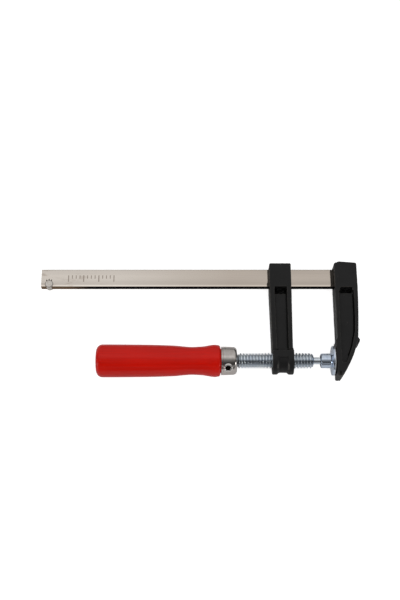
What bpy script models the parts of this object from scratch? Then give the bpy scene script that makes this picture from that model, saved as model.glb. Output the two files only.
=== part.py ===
"""F clamp with a flat rail, a fixed jaw, a sliding arm and a screw spindle with a wooden handle.

The clamp lies flat, with its rail along X and its spindle parallel to it on the -Y side.
Shapes are drawn in a working frame: x is 0 on the fixed jaw's clamping face and grows
towards the jaw's back, y is 0 on the spindle's axis and grows towards the rail, and z is 0
on the plane halfway through the clamp. The empty clamp_frame moves that frame so that the
clamp stands on z = 0, centred over the origin.
"""

import math

import bmesh
import bpy
from mathutils import Matrix, Vector

# Driving dimensions, in metres.
THROAT = 0.050          # from the rail's lower edge down to the spindle's axis
RAIL_LENGTH = 0.206
RAIL_HEIGHT = 0.0123
RAIL_THICKNESS = 0.005
RAIL_TAIL = 0.0139      # how far the rail runs past the clamping face, into the jaw
RAIL_EDGE = 0.0004
PAD_GAP = 0.0008        # between the swivel pad and the fixed jaw
CASTING_HALF = 0.0075   # half the thickness of the jaw and the arm
WEB_HALF = 0.005        # half the thickness left between their recessed panels
CASTING_EDGE = 0.0007
PANEL_CORNER = 0.0012
FIT_GAP = 0.0003        # left between pieces that touch

# Fixed jaw.
JAW_BACK = 0.0159
JAW_TOP = 0.0663
JAW_TIP = -0.0116
JAW_FACE_STEP = 0.00135  # the clamping face stands this far in front of the inner face
JAW_FACE_TOP = 0.0122
JAW_WINDOW = (0.0447, 0.0481)   # low and high edge of the window below the rail

# Sliding arm, in the working frame's x.
ARM_LEFT = -0.0417
ARM_RIGHT = -0.0275
ARM_TOP = 0.0650
ARM_TAPER_LEFT = 0.0009
ARM_TAPER_RIGHT = 0.0003
ARM_RIB = 0.0031         # width of the ribs beside the arm's panel
ARM_WINDOW = (0.0442, 0.0485)
BOSS_LEFT = -0.0409
BOSS_RIGHT = -0.0272
BOSS_RADIUS = 0.0089
BOSS_WAIST_RADIUS = 0.0078
BOSS_WAIST = (-0.0371, -0.0313)
BOSS_BLOCK_TOP = 0.0049
BOSS_BLOCK_HALF = 0.0087

# Stop pin at the rail's free end.
STOP_RADIUS = 0.0025
STOP_X = -0.1868
STOP_RISE = 0.0019      # centre above the rail's lower edge
STOP_HALF_LENGTH = 0.0031

# Spindle.
THREAD_RADIUS = 0.00505
THREAD_CORE_RADIUS = 0.00395
THREAD_PITCH = 0.002
THREAD_LEFT = -0.0632
THREAD_RIGHT = -0.0146
THREAD_GAP = 0.00025
TANG_RADIUS = 0.0035
TANG_LEFT = -0.1052
NECK_RADIUS = 0.00225
BALL_X = -0.0060
BALL_RADIUS = 0.00325

# Swivel pad and the ring that keeps it on the ball, in x from the ball's centre.
PAD_RADIUS = 0.0095
PAD_RIM = 0.0015
HUB_RADIUS = 0.00455
HUB_LEFT = -0.0038
RING_HALF_WIDTH = 0.0004
RING_X = -0.0024
RING_RADII = (0.0029, 0.0037)
RING_GROOVE_GAP = 0.00035

# Ferrule, handle and the pin through both.
FERRULE_LEFT = -0.0737
FERRULE_RIGHT = -0.06355
FERRULE_RADII = (0.0092, 0.0090)
FERRULE_WALL = 0.0011
FERRULE_END_WALL = 0.0014
FERRULE_CORNER = 0.0025
HANDLE_LEFT = -0.1540
HANDLE_RIGHT = -0.0742
HANDLE_RADIUS = 0.0106
HANDLE_END_RADII = (0.0040, 0.0017)
PIN_X = -0.0693
PIN_TURN = math.radians(45.8)   # from straight up towards -Y
PIN_RADII = (0.0015, 0.0008)
PIN_HALF_LENGTH = 0.0085
PIN_LIP_RADIUS = 0.0026
PIN_LIP_HEIGHT = 0.00035

ROUND_STEPS = 32        # sides of a turned piece
THREAD_STEPS = 16       # sides of one turn of thread
OUTSIDE = 0.002         # how far a cutter runs past what it cuts

RAIL_LEFT = RAIL_TAIL - RAIL_LENGTH
PIN_HOLE_RADIUS = PIN_RADII[0] + FIT_GAP
ANVIL_FACE = 0.0


# Scene, materials and objects.

def clear_scene():
    for item in list(bpy.data.objects):
        bpy.data.objects.remove(item, do_unlink=True)


def metal(name, colour, roughness):
    return material(name, colour, roughness, 1.0)


def material(name, colour, roughness, metallic):
    made = bpy.data.materials.new(name)
    made.use_nodes = True
    shader = made.node_tree.nodes["Principled BSDF"]
    shader.inputs["Base Color"].default_value = (*colour, 1.0)
    shader.inputs["Roughness"].default_value = roughness
    shader.inputs["Metallic"].default_value = metallic
    made.diffuse_color = (*colour, 1.0)
    return made


def empty(name, location, parent=None):
    made = bpy.data.objects.new(name, None)
    made.empty_display_size = 0.01
    made.location = location
    made.parent = parent
    bpy.context.scene.collection.objects.link(made)
    return made


def piece(name, bm, look, parent=None, sharp_angle=35):
    """Turn a finished bmesh into an object, with its faces outwards and shaded smooth."""
    bmesh.ops.recalc_face_normals(bm, faces=bm.faces)
    if bm.calc_volume(signed=True) < 0:
        bmesh.ops.reverse_faces(bm, faces=bm.faces)
    mesh = bpy.data.meshes.new(name)
    bm.to_mesh(mesh)
    bm.free()
    mesh.shade_smooth()
    mesh.set_sharp_from_angle(angle=math.radians(sharp_angle))
    if look is not None:
        mesh.materials.append(look)
    made = bpy.data.objects.new(name, mesh)
    made.parent = parent
    bpy.context.scene.collection.objects.link(made)
    return made


def tool(name, bm, parent=None):
    """A closed shape that only cuts or joins, and isn't a piece itself."""
    made = piece(name, bm, None, parent)
    made.hide_render = True
    made.display_type = "WIRE"
    return made


def combine(target, other, operation):
    step = target.modifiers.new(other.name, "BOOLEAN")
    step.operation = operation
    step.solver = "EXACT"
    step.object = other


# Shapes.

def arc(centre, radius, start, end, steps):
    """Points on an arc between two angles in degrees, both ends included."""
    points = []
    for i in range(steps + 1):
        angle = math.radians(start + (end - start) * i / steps)
        points.append((centre[0] + radius * math.cos(angle), centre[1] + radius * math.sin(angle)))
    return points


def bowed(start, end, bow, steps):
    """Points between two ends on a shallow arc that stands out to the right by bow."""
    first, last = Vector(start), Vector(end)
    along = last - first
    side = Vector((along.y, -along.x)).normalized()
    points = []
    for i in range(1, steps):
        t = i / steps
        points.append(tuple(first + along * t + side * bow * 4 * t * (1 - t)))
    return points


def rounded(corners, steps=4):
    """An outline from (x, y, radius) corners, each radius above zero made an arc."""
    outline = []
    for i, (x, y, radius) in enumerate(corners):
        here = Vector((x, y))
        if radius <= 0:
            outline.append((x, y))
            continue
        back = (Vector(corners[i - 1][:2]) - here).normalized()
        ahead = (Vector(corners[(i + 1) % len(corners)][:2]) - here).normalized()
        half = back.angle(ahead) / 2
        reach = radius / math.tan(half)
        centre = here + (back + ahead).normalized() * radius / math.sin(half)
        first = here + back * reach - centre
        swing = first.angle_signed(here + ahead * reach - centre)
        for step in range(steps + 1):
            turn = Matrix.Rotation(-swing * step / steps, 2)
            outline.append(tuple(centre + turn @ first))
    return outline


def prism(outline, low, high, edge=0.0):
    """An outline in x and y raised from z = low to z = high, with its rims bevelled."""
    bm = bmesh.new()
    base = bm.faces.new([bm.verts.new((x, y, low)) for x, y in outline])
    raised = bmesh.ops.extrude_face_region(bm, geom=[base])
    top = [item for item in raised["geom"] if isinstance(item, bmesh.types.BMVert)]
    bmesh.ops.translate(bm, verts=top, vec=(0, 0, high - low))
    if edge > 0:
        rims = [e for e in bm.edges if abs(e.verts[0].co.z - e.verts[1].co.z) < 1e-7]
        bmesh.ops.bevel(bm, geom=rims, offset=edge, segments=2, profile=0.5, affect="EDGES")
    return bm


def block(x0, x1, y0, y1, z0, z1):
    return prism([(x0, y0), (x1, y0), (x1, y1), (x0, y1)], z0, z1)


def turned(profile, closed=False, steps=ROUND_STEPS):
    """A profile of (x, radius) points spun about the x axis.

    An open profile starts and ends on the axis. A closed one goes round a hollow piece.
    """
    bm = bmesh.new()
    verts = [bm.verts.new((x, radius, 0)) for x, radius in profile]
    pairs = list(zip(verts, verts[1:]))
    if closed:
        pairs.append((verts[-1], verts[0]))
    edges = [bm.edges.new(pair) for pair in pairs]
    bmesh.ops.spin(
        bm, geom=verts + edges, cent=(0, 0, 0), axis=(1, 0, 0), angle=math.tau, steps=steps,
        use_merge=True,
    )
    bmesh.ops.remove_doubles(bm, verts=bm.verts, dist=1e-6)
    return bm


def rod(radius, x0, x1, steps=ROUND_STEPS):
    return turned([(x0, 0), (x0, radius), (x1, radius), (x1, 0)], steps=steps)


def smooth_profile(knots, steps):
    """Points on a curve through (x, radius) knots, with no bulge past them (monotone cubic)."""
    slopes = []
    for i in range(len(knots)):
        if i in (0, len(knots) - 1):
            slopes.append(0.0)
            continue
        before = (knots[i][1] - knots[i - 1][1]) / (knots[i][0] - knots[i - 1][0])
        after = (knots[i + 1][1] - knots[i][1]) / (knots[i + 1][0] - knots[i][0])
        slopes.append(0.0 if before * after <= 0 else 2 * before * after / (before + after))
    points = []
    for i in range(len(knots) - 1):
        (x0, r0), (x1, r1) = knots[i], knots[i + 1]
        span = x1 - x0
        for step in range(steps):
            t = step / steps
            radius = (
                (1 + 2 * t) * (1 - t) ** 2 * r0
                + t * (1 - t) ** 2 * span * slopes[i]
                + t * t * (3 - 2 * t) * r1
                + t * t * (t - 1) * span * slopes[i + 1]
            )
            points.append((x0 + span * t, radius))
    points.append(knots[-1])
    return points


def screw_rod(x0, x1, crest, core, flank_gap=0.0):
    """A right-hand threaded rod about the x axis, from before x0 to past x1.

    Each step round the helix carries four points: the two sides of the crest and the two
    sides of the root. flank_gap widens the ridge, for the thread inside a nut.
    """
    ridge = (
        (0.0, core),
        (0.25 - flank_gap / THREAD_PITCH, crest),
        (0.50 + flank_gap / THREAD_PITCH, crest),
        (0.75, core),
    )
    turns = math.ceil((x1 - x0) / THREAD_PITCH) + 3
    first_x = (math.floor(x0 / THREAD_PITCH) - 2) * THREAD_PITCH
    bm = bmesh.new()
    helix = []
    for i in range(turns * THREAD_STEPS + 1):
        angle = math.tau * i / THREAD_STEPS
        start = first_x + THREAD_PITCH * i / THREAD_STEPS
        ring = []
        for offset, radius in ridge:
            x = start + THREAD_PITCH * offset
            ring.append(bm.verts.new((x, radius * math.cos(angle), radius * math.sin(angle))))
        helix.append(ring)

    def point(step, index):
        return helix[step + THREAD_STEPS][0] if index == len(ridge) else helix[step][index]

    last = len(helix) - 1 - THREAD_STEPS
    for step in range(last):
        for index in range(len(ridge)):
            corners = (
                point(step, index), point(step + 1, index),
                point(step + 1, index + 1), point(step, index + 1),
            )
            bm.faces.new(corners)
    for edge_step, tip_x in ((0, first_x - THREAD_PITCH), (last, first_x + THREAD_PITCH * turns)):
        tip = bm.verts.new((tip_x, 0, 0))
        bm.faces.new([tip] + [point(edge_step, index) for index in range(len(ridge) + 1)])
        for step in range(edge_step, edge_step + THREAD_STEPS):
            bm.faces.new((tip, helix[step][0], helix[step + 1][0]))
    bmesh.ops.delete(bm, geom=[v for v in bm.verts if not v.link_faces], context="VERTS")
    return bm


def across_pin(bm, x=PIN_X):
    """Turn a shape drawn along x so that it lies along the handle pin, through the axis."""
    upright = Matrix.Rotation(-math.pi / 2, 4, "Y")
    leaning = Matrix.Rotation(PIN_TURN, 4, "X")
    bm.transform(Matrix.Translation((x, 0, 0)) @ leaning @ upright)
    return bm


def cut_pin_hole(target, parent):
    name = target.name + "_pin_hole"
    drill = across_pin(rod(PIN_HOLE_RADIUS, -HANDLE_RADIUS, HANDLE_RADIUS, steps=20))
    combine(target, tool(name, drill, parent), "DIFFERENCE")


# Pieces that stay with the rail.

def make_rail(look, frame):
    bm = prism(
        [(RAIL_LEFT, THROAT), (RAIL_TAIL, THROAT),
         (RAIL_TAIL, THROAT + RAIL_HEIGHT), (RAIL_LEFT, THROAT + RAIL_HEIGHT)],
        -RAIL_THICKNESS / 2, RAIL_THICKNESS / 2,
    )
    long_edges = [e for e in bm.edges if abs(e.verts[0].co.x - e.verts[1].co.x) > RAIL_LENGTH / 2]
    bmesh.ops.bevel(
        bm, geom=long_edges, offset=RAIL_EDGE, segments=2, profile=0.5, affect="EDGES"
    )
    rail = piece("rail", bm, look, frame)
    notch = prism(
        arc((STOP_X, THROAT + STOP_RISE), STOP_RADIUS + FIT_GAP, 0, 345, 23),
        -RAIL_THICKNESS, RAIL_THICKNESS,
    )
    combine(rail, tool("rail_stop_notch", notch, frame), "DIFFERENCE")
    return rail


def make_rail_end_stop(look, frame):
    edge = 0.0005
    half = STOP_HALF_LENGTH
    profile = [
        (-half, 0), (-half, STOP_RADIUS - edge), (-half + edge, STOP_RADIUS),
        (half - edge, STOP_RADIUS), (half, STOP_RADIUS - edge), (half, 0),
    ]
    bm = turned(profile, steps=24)
    bm.transform(Matrix.Rotation(math.pi / 2, 4, "Y"))
    bm.transform(Matrix.Translation((STOP_X, THROAT + STOP_RISE, 0)))
    return piece("rail_end_stop", bm, look, frame)


def rail_slot(x0, x1):
    """The space that the rail takes in a casting, with its gap."""
    half = RAIL_THICKNESS / 2 + FIT_GAP
    return block(x0, x1, THROAT - FIT_GAP, THROAT + RAIL_HEIGHT + FIT_GAP, -half, half)


def cut_window(casting, left, right, low, high, frame):
    """Open a small window, with rounded corners, right through a casting."""
    corner = 0.0008
    outline = rounded([
        (left, low, corner), (right, low, corner), (right, high, corner), (left, high, corner),
    ])
    reach = CASTING_HALF + OUTSIDE
    cutter = tool(f"{casting.name}_window", prism(outline, -reach, reach), frame)
    combine(casting, cutter, "DIFFERENCE")


def recess_panel(casting, outline, frame):
    """Sink a panel into both faces of a casting, down to its web."""
    for side in (1, -1):
        near, far = sorted((side * WEB_HALF, side * (CASTING_HALF + OUTSIDE)))
        cutter = tool(f"{casting.name}_panel_{side}", prism(outline, near, far), frame)
        combine(casting, cutter, "DIFFERENCE")


def jaw_outline():
    """The fixed jaw seen from its side, anticlockwise from the foot of its clamping face."""
    taper_foot = (0.0032, JAW_TIP)
    taper_top = (0.0127, 0.0073)
    nib = (0.0157, 0.0126)
    above_nib = (0.0144, 0.0147)
    back_top = (JAW_BACK, 0.0560)
    corners = rounded([
        (ANVIL_FACE, JAW_TIP, 0.0008),
        (*taper_foot, 0.0008),
        (*taper_top, 0),
    ], steps=3)[:-1]
    corners += bowed(corners[-1], taper_top, 0.0009, 5)
    corners += [taper_top, nib, above_nib]
    corners += bowed(above_nib, back_top, 0.0004, 5)
    corners += [back_top, (JAW_BACK - 0.0001, 0.0641), (JAW_BACK - 0.0014, 0.0654)]
    corners += [(0.0050, JAW_TOP), (0.0036, JAW_TOP), (0.0022, 0.0656), (JAW_FACE_STEP, 0.0644)]
    corners += [(JAW_FACE_STEP, JAW_FACE_TOP + 0.0012), (ANVIL_FACE, JAW_FACE_TOP)]
    return corners


def make_fixed_jaw(look, frame):
    jaw = piece(
        "fixed_jaw", prism(jaw_outline(), -CASTING_HALF, CASTING_HALF, CASTING_EDGE), look, frame
    )
    panel_top = sum(JAW_WINDOW) / 2
    panel = rounded([
        (0.0034, -0.0032, 0.0010),
        (0.0061, -0.0032, 0.0010),
        (0.0102, 0.0078, 0.0060),
        (0.0120, 0.0200, 0.0080),
        (0.0130, panel_top, PANEL_CORNER),
        (0.0034, panel_top, PANEL_CORNER),
    ])
    recess_panel(jaw, panel, frame)
    slot = rail_slot(ANVIL_FACE - OUTSIDE, RAIL_TAIL + FIT_GAP)
    combine(jaw, tool("fixed_jaw_rail_slot", slot, frame), "DIFFERENCE")
    cut_window(jaw, 0.0042, 0.0122, JAW_WINDOW[0], JAW_WINDOW[1], frame)
    return jaw


# The sliding arm.

def make_sliding_arm(look, frame):
    foot = 0.0030
    waist = THROAT - 0.0035
    outline = rounded([
        (ARM_LEFT + ARM_TAPER_LEFT, foot, 0),
        (ARM_RIGHT - ARM_TAPER_RIGHT, foot, 0),
        (ARM_RIGHT, waist, 0),
        (ARM_RIGHT, ARM_TOP, 0.0014),
        (ARM_LEFT, ARM_TOP, 0.0014),
        (ARM_LEFT, waist, 0),
    ])
    arm = piece("sliding_arm", prism(outline, -CASTING_HALF, CASTING_HALF, CASTING_EDGE), look, frame)
    panel_right = ARM_RIGHT - ARM_RIB
    panel_top = sum(ARM_WINDOW) / 2
    panel = rounded([
        (ARM_LEFT + ARM_RIB + ARM_TAPER_LEFT, foot, 0),
        (panel_right, foot, 0),
        (panel_right, panel_top, PANEL_CORNER),
        (ARM_LEFT + ARM_RIB, panel_top, PANEL_CORNER),
    ])
    recess_panel(arm, panel, frame)
    boss_block = prism(
        [(BOSS_LEFT, 0), (BOSS_RIGHT, 0), (BOSS_RIGHT, BOSS_BLOCK_TOP), (BOSS_LEFT, BOSS_BLOCK_TOP)],
        -BOSS_BLOCK_HALF, BOSS_BLOCK_HALF, CASTING_EDGE,
    )
    combine(arm, tool("sliding_arm_boss_block", boss_block, frame), "UNION")
    combine(arm, tool("sliding_arm_boss", boss(), frame), "UNION")
    slot = rail_slot(ARM_LEFT - OUTSIDE, ARM_RIGHT + OUTSIDE)
    combine(arm, tool("sliding_arm_rail_slot", slot, frame), "DIFFERENCE")
    cut_window(
        arm, ARM_LEFT + ARM_RIB, ARM_RIGHT - ARM_RIB, ARM_WINDOW[0], ARM_WINDOW[1], frame
    )
    nut = screw_rod(
        BOSS_LEFT - OUTSIDE, BOSS_RIGHT + OUTSIDE,
        THREAD_RADIUS + THREAD_GAP, THREAD_CORE_RADIUS + THREAD_GAP, THREAD_GAP / 2,
    )
    combine(arm, tool("sliding_arm_thread", nut, frame), "DIFFERENCE")
    return arm


def boss():
    """The round half of the arm's threaded boss: a spool with a collar at each end."""
    slope = 0.0005
    edge = 0.0005
    left, right = BOSS_WAIST
    return turned([
        (BOSS_LEFT, 0),
        (BOSS_LEFT, BOSS_RADIUS - edge),
        (BOSS_LEFT + edge, BOSS_RADIUS),
        (left - slope, BOSS_RADIUS),
        (left + slope, BOSS_WAIST_RADIUS),
        (right - slope, BOSS_WAIST_RADIUS),
        (right + slope, BOSS_RADIUS),
        (BOSS_RIGHT - edge, BOSS_RADIUS),
        (BOSS_RIGHT, BOSS_RADIUS - edge),
        (BOSS_RIGHT, 0),
    ])


# The spindle and what turns with it.

def make_spindle(look, frame):
    """Thread, neck, ball and the tang inside the handle, all one bar."""
    bm = screw_rod(THREAD_LEFT, THREAD_RIGHT, THREAD_RADIUS, THREAD_CORE_RADIUS)
    spindle = piece("spindle", bm, look, frame, sharp_angle=50)
    chamfer = 0.0012
    beyond = THREAD_RADIUS + 0.0003
    blank = turned([
        (THREAD_LEFT, 0),
        (THREAD_LEFT, THREAD_CORE_RADIUS - 0.0001),
        (THREAD_LEFT + chamfer, beyond),
        (THREAD_RIGHT - chamfer, beyond),
        (THREAD_RIGHT, THREAD_CORE_RADIUS - 0.0001),
        (THREAD_RIGHT, 0),
    ])
    combine(spindle, tool("spindle_blank", blank, frame), "INTERSECT")
    neck_angle = math.degrees(math.asin(NECK_RADIUS / BALL_RADIUS))
    ball = arc((BALL_X, 0), BALL_RADIUS, 180 - neck_angle, 0, 12)
    bar = turned([
        (TANG_LEFT, 0),
        (TANG_LEFT, TANG_RADIUS - 0.0008),
        (TANG_LEFT + 0.0008, TANG_RADIUS),
        (THREAD_RIGHT - 0.0010, TANG_RADIUS),
        (THREAD_RIGHT - 0.0010, NECK_RADIUS),
        *ball[:-1],
        (BALL_X + BALL_RADIUS, 0),
    ], steps=24)
    combine(spindle, tool("spindle_bar", bar, frame), "UNION")
    cut_pin_hole(spindle, frame)
    return spindle


def make_ferrule(look, frame):
    left_radius, right_radius = FERRULE_RADII
    corner = arc(
        (FERRULE_RIGHT - FERRULE_CORNER, right_radius - FERRULE_CORNER), FERRULE_CORNER, 90, 0, 5
    )
    bore = left_radius - FERRULE_WALL
    ferrule = piece("ferrule", turned([
        (FERRULE_LEFT, bore),
        (FERRULE_LEFT, left_radius),
        *corner,
        (FERRULE_RIGHT, TANG_RADIUS + FIT_GAP),
        (FERRULE_RIGHT - FERRULE_END_WALL, TANG_RADIUS + FIT_GAP),
        (FERRULE_RIGHT - FERRULE_END_WALL, bore - FERRULE_CORNER / 2),
        (FERRULE_RIGHT - FERRULE_END_WALL - FERRULE_CORNER / 2, bore),
    ], closed=True), look, frame)
    for side in (1, -1):
        low, high = sorted((side * (bore + FERRULE_WALL / 2), side * (left_radius + PIN_LIP_HEIGHT)))
        lip = across_pin(rod(PIN_LIP_RADIUS, low, high, steps=20))
        combine(ferrule, tool(f"ferrule_lip_{side}", lip, frame), "UNION")
    cut_pin_hole(ferrule, frame)
    return ferrule


def make_handle(look, frame):
    """Turned wood with a swell at each end, a waist, a tenon and a bore for the tang."""
    free, inner = HANDLE_END_RADII
    neck = 0.0102
    body = smooth_profile([
        (HANDLE_LEFT + free, HANDLE_RADIUS),
        (-0.1200, 0.01035),
        (-0.1040, 0.00985),
        (-0.0985, 0.00935),
        (-0.0925, 0.00895),
        (-0.0860, 0.00925),
        (HANDLE_RIGHT - inner - 0.0018, neck + 0.0002),
        (HANDLE_RIGHT - inner, neck),
    ], 2)
    tenon = FERRULE_RADII[0] - FERRULE_WALL - FIT_GAP
    tenon_end = FERRULE_RIGHT - FERRULE_END_WALL - FIT_GAP
    bore = TANG_RADIUS + FIT_GAP
    profile = [(HANDLE_LEFT, 0)]
    profile += arc((HANDLE_LEFT + free, HANDLE_RADIUS - free), free, 180, 90, 5)[:-1]
    profile += body[:-1]
    profile += arc((HANDLE_RIGHT - inner, neck - inner), inner, 90, 0, 4)
    profile += [
        (HANDLE_RIGHT, tenon),
        (tenon_end - FERRULE_CORNER / 2, tenon),
        (tenon_end, tenon - FERRULE_CORNER / 2),
        (tenon_end, bore),
        (TANG_LEFT - FIT_GAP, bore),
        (TANG_LEFT - FIT_GAP, 0),
    ]
    handle = piece("handle", turned(profile), look, frame)
    cut_pin_hole(handle, frame)
    return handle


def make_handle_pin(look, frame):
    outer, inner = PIN_RADII
    half = PIN_HALF_LENGTH
    edge = 0.0002
    tube = turned([
        (-half, inner), (-half, outer - edge), (-half + edge, outer),
        (half - edge, outer), (half, outer - edge), (half, inner),
    ], closed=True, steps=20)
    return piece("handle_pin", across_pin(tube), look, frame)


# The swivel pad, drawn about the ball's centre.

def make_ball_retaining_ring(look, pivot):
    inner, outer = RING_RADII
    middle, half = (inner + outer) / 2, (outer - inner) / 2
    section = arc((RING_X, middle), half, 0, 315, 7)
    return piece("ball_retaining_ring", turned(section, closed=True, steps=32), look, pivot)


def make_swivel_pad(look, pivot):
    """A round foot with a dished back and a hub that closes over the spindle's ball."""
    face = -PAD_GAP - BALL_X
    rim_back = face - PAD_RIM
    hub_right = 0.0030
    mouth = RING_RADII[1] - 0.0002
    groove = RING_RADII[1] + RING_GROOVE_GAP
    groove_left = RING_X - RING_HALF_WIDTH - RING_GROOVE_GAP
    groove_right = RING_X + RING_HALF_WIDTH + RING_GROOVE_GAP
    socket = BALL_RADIUS + FIT_GAP
    socket_start = math.degrees(math.acos(max(-1.0, groove_right / socket)))
    profile = [(face, 0), (face, PAD_RADIUS - 0.0004), (face - 0.0004, PAD_RADIUS)]
    profile += [(rim_back + 0.0003, PAD_RADIUS), (rim_back, PAD_RADIUS - 0.0004)]
    profile += [(hub_right - 0.0004, 0.0062), (hub_right - 0.0010, 0.0050)]
    profile += [(hub_right - 0.0020, HUB_RADIUS)]
    profile += [(HUB_LEFT + 0.0009, HUB_RADIUS), (HUB_LEFT, HUB_RADIUS - 0.0007)]
    profile += [(HUB_LEFT, mouth), (groove_left, mouth), (groove_left, groove)]
    profile += [(groove_right, groove)]
    profile += arc((0, 0), socket, socket_start, 0, 8)[:-1]
    profile += [(socket, 0)]
    return piece("swivel_pad", turned(profile), look, pivot)


def main():
    clear_scene()
    nickel = metal("nickel_plated_bar", (0.62, 0.58, 0.54), 0.28)
    stop_steel = metal("stop_pin_steel", (0.66, 0.63, 0.60), 0.32)
    jaw_black = material("jaw_black_enamel", (0.020, 0.020, 0.021), 0.42, 0.0)
    arm_black = material("arm_black_enamel", (0.022, 0.022, 0.022), 0.42, 0.0)
    zinc = metal("spindle_zinc", (0.50, 0.54, 0.60), 0.30)
    ring_steel = metal("ring_spring_steel", (0.35, 0.35, 0.37), 0.35)
    pad_zinc = metal("pad_zinc", (0.58, 0.62, 0.67), 0.25)
    red_lacquer = material("handle_red_lacquer", (0.47, 0.018, 0.010), 0.30, 0.0)
    ferrule_nickel = metal("ferrule_nickel", (0.60, 0.57, 0.55), 0.18)
    pin_steel = metal("pin_steel", (0.30, 0.30, 0.31), 0.35)

    centre_x = (RAIL_LEFT + JAW_BACK) / 2
    centre_y = (JAW_TIP + JAW_TOP) / 2
    frame = empty("clamp_frame", (-centre_x, -centre_y, HANDLE_RADIUS))
    carriage = empty("arm_carriage", (0, 0, 0), frame)
    spindle_axis = empty("spindle_axis", (0, 0, 0), carriage)
    ball_centre = empty("ball_centre", (BALL_X, 0, 0), carriage)

    make_rail(nickel, frame)
    make_rail_end_stop(stop_steel, frame)
    make_fixed_jaw(jaw_black, frame)
    make_sliding_arm(arm_black, carriage)
    make_spindle(zinc, spindle_axis)
    make_ferrule(ferrule_nickel, spindle_axis)
    make_handle(red_lacquer, spindle_axis)
    make_handle_pin(pin_steel, spindle_axis)
    make_ball_retaining_ring(ring_steel, ball_centre)
    make_swivel_pad(pad_zinc, ball_centre)


main()
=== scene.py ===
"""Looks for the f clamp: detailed pieces, materials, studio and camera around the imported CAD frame.

Shapes are drawn in the clamp's working frame: x is 0 on the fixed jaw's clamping face and grows
towards its back, y is 0 on the spindle's axis and grows towards the rail, and z is 0 on the plane
halfway through the clamp. place() moves a finished shape into the row frame.
"""

import math

import bmesh
import bpy
import numpy as np
from mathutils import Matrix, Vector, noise


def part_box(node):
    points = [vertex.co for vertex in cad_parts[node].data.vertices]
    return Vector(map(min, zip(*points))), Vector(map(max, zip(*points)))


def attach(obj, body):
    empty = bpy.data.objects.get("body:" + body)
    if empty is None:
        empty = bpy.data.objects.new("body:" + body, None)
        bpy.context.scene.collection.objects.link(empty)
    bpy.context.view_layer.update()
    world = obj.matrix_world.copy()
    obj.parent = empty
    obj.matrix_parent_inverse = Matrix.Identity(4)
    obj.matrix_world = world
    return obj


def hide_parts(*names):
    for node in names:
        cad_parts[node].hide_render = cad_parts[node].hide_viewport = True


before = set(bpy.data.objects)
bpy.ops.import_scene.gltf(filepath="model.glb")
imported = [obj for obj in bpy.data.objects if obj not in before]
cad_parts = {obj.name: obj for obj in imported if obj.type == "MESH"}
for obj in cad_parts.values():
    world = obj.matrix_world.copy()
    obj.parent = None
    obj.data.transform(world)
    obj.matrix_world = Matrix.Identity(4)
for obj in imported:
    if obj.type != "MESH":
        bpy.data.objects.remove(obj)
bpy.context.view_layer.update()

MM = 0.001
TOUCHING = 1e-7                        # metres; points this close together count as one

rail_low, rail_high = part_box("rail")
jaw_low, jaw_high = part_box("fixed_jaw")
arm_low, arm_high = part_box("sliding_arm")
handle_low, handle_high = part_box("handle")
ferrule_low, ferrule_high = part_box("ferrule")
stop_low, stop_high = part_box("rail_end_stop")
AXIS_Y = (handle_low.y + handle_high.y) / 2
RAIL_Y = (rail_low.y + rail_high.y) / 2
MIDDLE_Z = (rail_low.z + rail_high.z) / 2
JAW_BACK = 15.9 * MM                   # from the clamping face to the jaw's back
ORIGIN = Vector((jaw_high.x - JAW_BACK, AXIS_Y, MIDDLE_Z))


def local(corner):
    """A corner of a CAD box in the working frame."""
    return corner - ORIGIN


def mm(*points):
    """Points written in millimetres."""
    return [tuple(value * MM for value in point) for point in points]


STOP_CENTRE = local((stop_low + stop_high) / 2)
STOP_RADIUS = (stop_high.x - stop_low.x) / 2
CASTING_HALF = (jaw_high.z - jaw_low.z) / 2
RAIL_HALF = (rail_high.z - rail_low.z) / 2


# ---------------- shapes

def arc(centre, radius, start, end, steps):
    """Points on a circle from one angle to another, in degrees."""
    points = []
    for i in range(steps + 1):
        angle = math.radians(start + (end - start) * i / steps)
        points.append((centre[0] + radius * math.cos(angle), centre[1] + radius * math.sin(angle)))
    return points


def bowed(start, end, bow, steps):
    """Points between two ends on a shallow arc that stands out to the right by bow."""
    first, last = Vector(start), Vector(end)
    along = last - first
    side = Vector((along.y, -along.x)).normalized()
    points = []
    for i in range(1, steps):
        t = i / steps
        points.append(tuple(first + along * t + side * bow * 4 * t * (1 - t)))
    return points


def rounded(corners, steps=6):
    """An outline from (x, y, radius) corners, each radius above zero made an arc."""
    outline = []
    for i, (x, y, radius) in enumerate(corners):
        here = Vector((x, y))
        if radius <= 0:
            outline.append((x, y))
            continue
        back = (Vector(corners[i - 1][:2]) - here).normalized()
        ahead = (Vector(corners[(i + 1) % len(corners)][:2]) - here).normalized()
        half = back.angle(ahead) / 2
        reach = radius / math.tan(half)
        centre = here + (back + ahead).normalized() * radius / math.sin(half)
        first = here + back * reach - centre
        swing = first.angle_signed(here + ahead * reach - centre)
        for step in range(steps + 1):
            turn = Matrix.Rotation(-swing * step / steps, 2)
            outline.append(tuple(centre + turn @ first))
    return outline


def prism(outline, low, high, edge=0.0, segments=3):
    """An outline raised from low to high, its rims rounded by edge."""
    bm = bmesh.new()
    base = bm.faces.new([bm.verts.new((x, y, low)) for x, y in outline])
    raised = bmesh.ops.extrude_face_region(bm, geom=[base])
    top = [item for item in raised["geom"] if isinstance(item, bmesh.types.BMVert)]
    bmesh.ops.translate(bm, verts=top, vec=(0, 0, high - low))
    if edge > 0:
        rims = [e for e in bm.edges if abs(e.verts[0].co.z - e.verts[1].co.z) < TOUCHING]
        bmesh.ops.bevel(
            bm, geom=rims, offset=edge, segments=segments, profile=0.5, affect="EDGES"
        )
    return bm


def rectangle(x0, x1, y0, y1):
    return [(x0, y0), (x1, y0), (x1, y1), (x0, y1)]


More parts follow.
